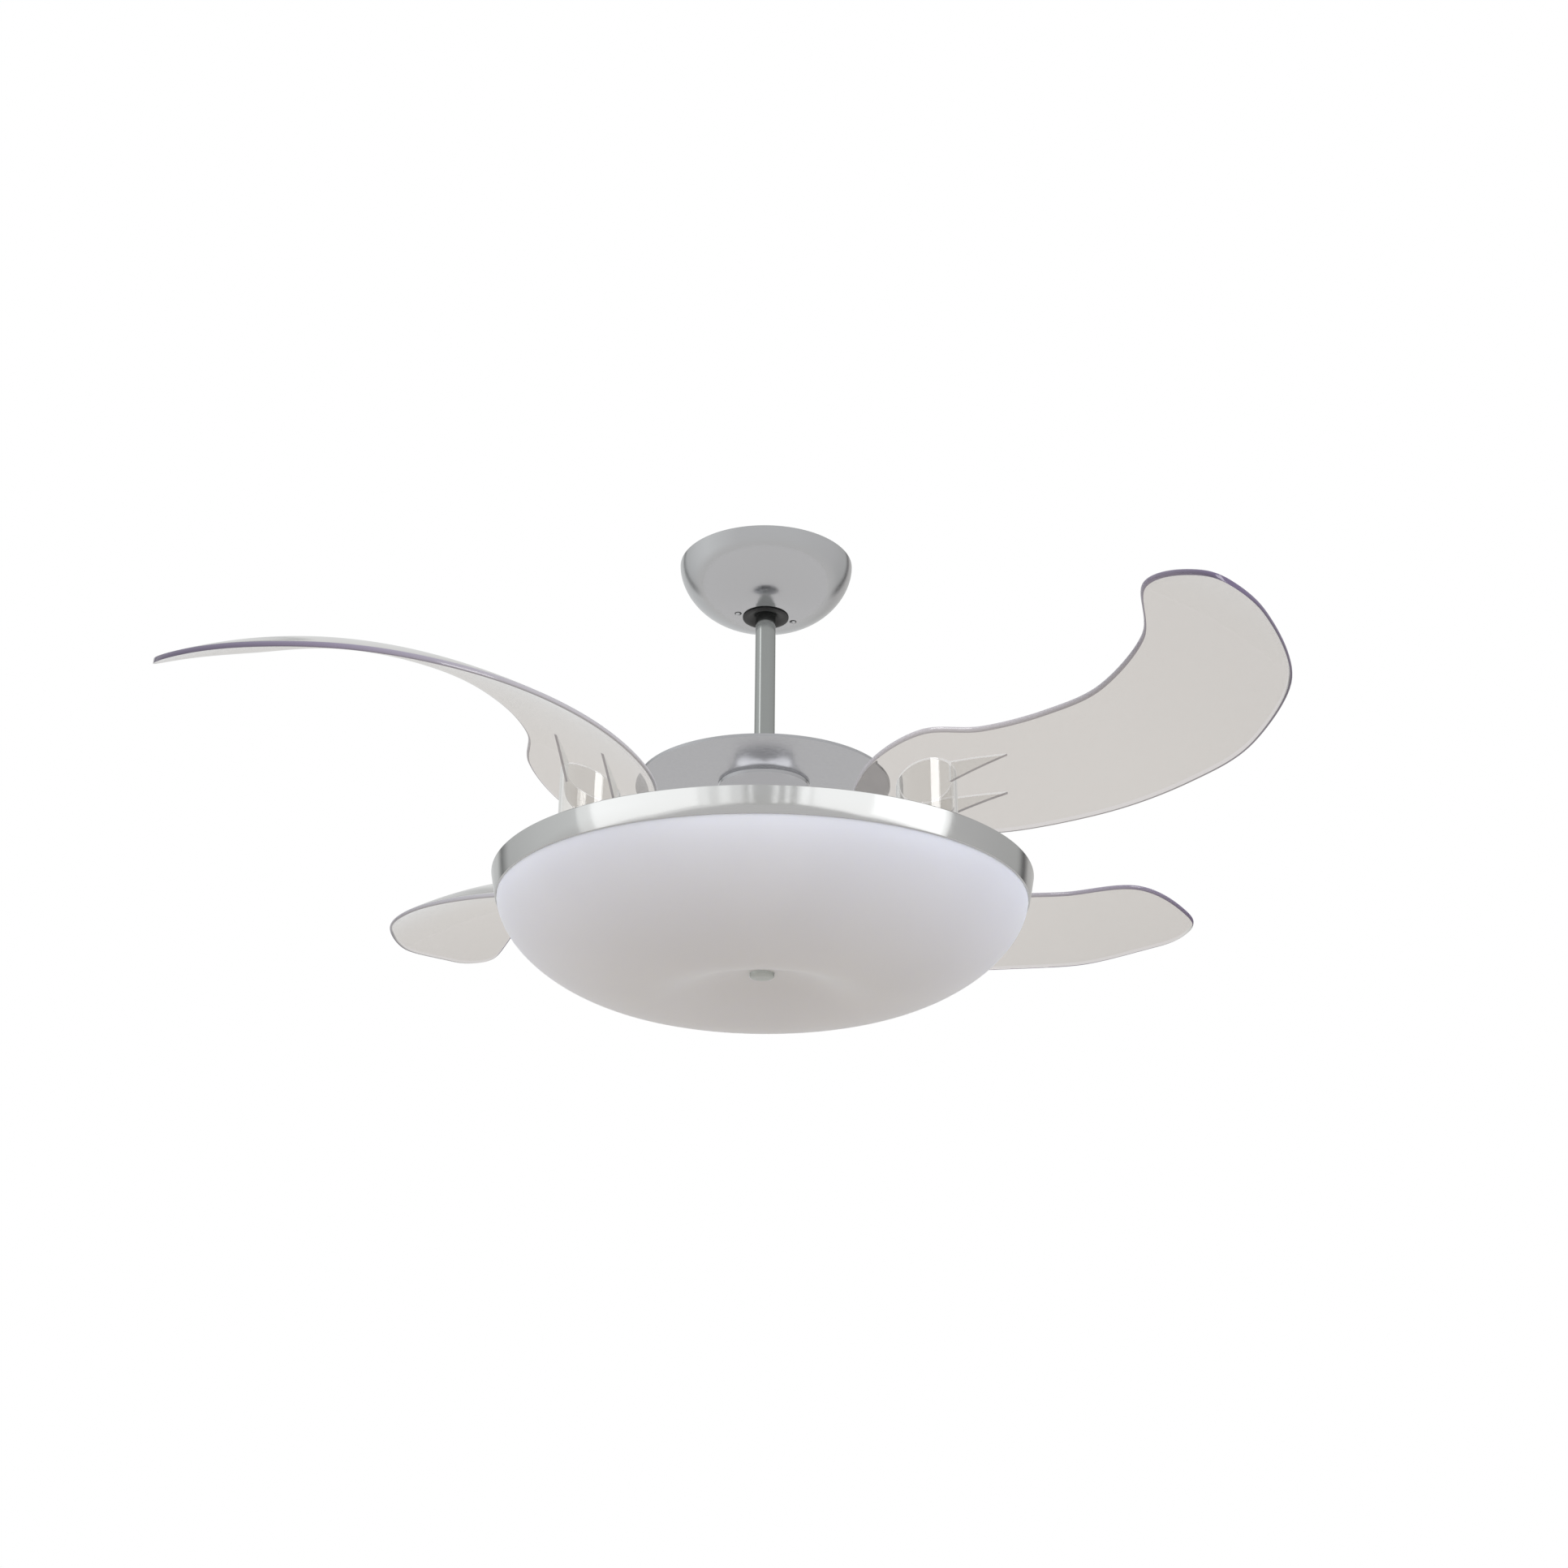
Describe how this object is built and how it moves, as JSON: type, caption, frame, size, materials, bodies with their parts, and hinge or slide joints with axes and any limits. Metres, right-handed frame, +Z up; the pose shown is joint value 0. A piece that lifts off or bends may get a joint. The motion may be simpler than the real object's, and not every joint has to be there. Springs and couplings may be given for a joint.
{
  "type": "retractable blade ceiling fan",
  "caption": "Ceiling fan with clear blades that swing out from above a chrome-ringed opal bowl lamp, on a short down rod.",
  "frame": {"origin": "centre of the ceiling plate's upper face, on the ceiling", "axes": "+Z up into the ceiling, +X along the ceiling bar, -Y towards the viewer of the picture"},
  "size_m": [1.011, 1.011, 0.47],
  "materials": {
    "polished_chrome": "polished",
    "galvanised_steel": "satin",
    "black_rubber": "matt",
    "hard_grey_plastic": "matt",
    "white_plastic": "matt",
    "clear_blade": "clear acrylic, faintly smoke tinted",
    "opal_shade": "opal",
    "opal_bulb": "opal",
    "turned_steel": "turned",
    "magnet": "plain",
    "lamination": "plain",
    "copper": "enamelled wire",
    "cast_aluminium": "as cast",
    "white_aluminium": "white enamel on aluminium sheet",
    "acetal": "matt",
    "wire_sheath": "matt"
  },
  "bodies": {
    "stationary": {"ceiling_bracket": "galvanised_steel", "hanger_ball": "hard_grey_plastic", "hanger_pin": "turned_steel", "down_rod": "polished_chrome", "canopy": "polished_chrome", "canopy_collar": "black_rubber", "canopy_screws": "turned_steel", "receiver_box": "white_plastic", "terminal_block": "white_plastic", "wiring": "wire_sheath", "rod_coupling": "turned_steel", "coupling_pin": "turned_steel", "top_cover": "polished_chrome", "cover_plate": "polished_chrome", "cover_neck": "polished_chrome", "cover_screws": "turned_steel", "motor_shaft": "turned_steel", "bearings": "turned_steel", "stator_core": "lamination", "stator_windings": "copper", "shaft_spacer": "turned_steel", "lamp_pan": "white_aluminium", "shaft_nut": "turned_steel", "trim_ring": "polished_chrome", "ring_screws": "turned_steel", "stud_bridge": "galvanised_steel", "shade_stud": "turned_steel", "stud_nut": "turned_steel", "shade": "opal_shade", "shade_washer": "black_rubber", "finial": "turned_steel", "lamp_brackets": "galvanised_steel", "lamp_holders": "white_plastic", "bulb_caps": "turned_steel", "bulbs": "opal_bulb", "lamp_terminal": "white_plastic"},
    "rotor": {"rotor_upper_shell": "cast_aluminium", "rotor_lower_shell": "cast_aluminium", "rotor_magnets": "magnet", "carrier_hub": "cast_aluminium", "blade_carrier": "white_aluminium", "rotor_screws": "turned_steel", "pivot_posts": "turned_steel", "pivot_caps": "turned_steel", "return_springs": "turned_steel", "ring_guides": "acetal", "stop_bumpers": "black_rubber"},
    "sync": {"sync_ring": "acetal"},
    "blade_unit_1": {"blade_1": "clear_blade", "blade_gear_1": "acetal", "blade_screws_1": "turned_steel"},
    "blade_unit_2": {"blade_2": "clear_blade", "blade_gear_2": "acetal", "blade_screws_2": "turned_steel"},
    "blade_unit_3": {"blade_3": "clear_blade", "blade_gear_3": "acetal", "blade_screws_3": "turned_steel"},
    "blade_unit_4": {"blade_4": "clear_blade", "blade_gear_4": "acetal", "blade_screws_4": "turned_steel"}
  },
  "joints": [
    {"name": "rotor_spin", "type": "hinge", "parent": "stationary", "child": "rotor", "pos_m": [0, 0, -0.314], "axis": [0, 0, 1], "continuous": true},
    {"name": "sync_turn", "type": "hinge", "parent": "rotor", "child": "sync", "pos_m": [0, 0, -0.352], "axis": [0, 0, 1], "range_deg": [0, 17.6]},
    {"name": "blade_1_fold", "type": "hinge", "parent": "rotor", "child": "blade_unit_1", "pos_m": [0.14868, -0.15943, -0.352], "axis": [0, 0, 1], "range_deg": [-142, 0]},
    {"name": "blade_2_fold", "type": "hinge", "parent": "rotor", "child": "blade_unit_2", "pos_m": [0.15943, 0.14868, -0.352], "axis": [0, 0, 1], "range_deg": [-142, 0]},
    {"name": "blade_3_fold", "type": "hinge", "parent": "rotor", "child": "blade_unit_3", "pos_m": [-0.14868, 0.15943, -0.352], "axis": [0, 0, 1], "range_deg": [-142, 0]},
    {"name": "blade_4_fold", "type": "hinge", "parent": "rotor", "child": "blade_unit_4", "pos_m": [-0.15943, -0.14868, -0.352], "axis": [0, 0, 1], "range_deg": [-142, 0]}
  ],
  "couplings": [
    {"joint": "blade_2_fold", "follows": "blade_1_fold", "ratio": 1},
    {"joint": "blade_3_fold", "follows": "blade_1_fold", "ratio": 1},
    {"joint": "blade_4_fold", "follows": "blade_1_fold", "ratio": 1},
    {"joint": "sync_turn", "follows": "blade_1_fold", "ratio": -0.12371}
  ]
}
